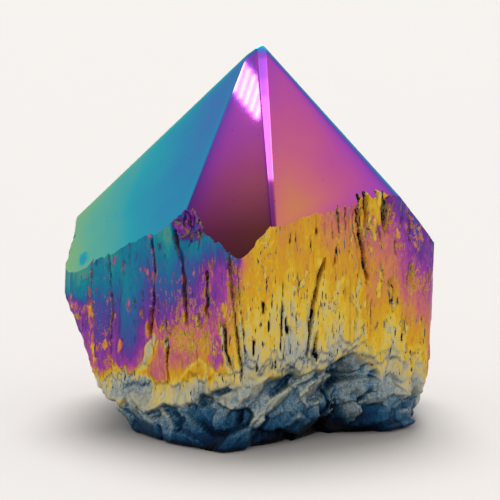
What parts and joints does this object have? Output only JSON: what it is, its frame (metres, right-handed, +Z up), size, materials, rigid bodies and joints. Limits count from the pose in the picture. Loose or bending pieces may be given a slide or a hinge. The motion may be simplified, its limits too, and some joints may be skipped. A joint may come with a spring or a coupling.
{
  "type": "titanium-coated quartz crystal point",
  "caption": "Free-standing crystal point with a polished faceted tip, furrowed raw sides and a broken lumpy foot, in a rainbow metal coat.",
  "frame": {"origin": "middle of the part's footprint, on the ground flat it stands on", "axes": "+Z up towards the tip, -Y towards the front corner under the dark kite-shaped face, +X to the right of it"},
  "size_m": [0.0613, 0.0544, 0.0631],
  "materials": {
    "titanium_coat": "thin mirror-like metal film on quartz, with rainbow interference colours: polished on the tip, rough below"
  },
  "bodies": {
    "root": {"crystal_point": "titanium_coat"}
  },
  "joints": []
}
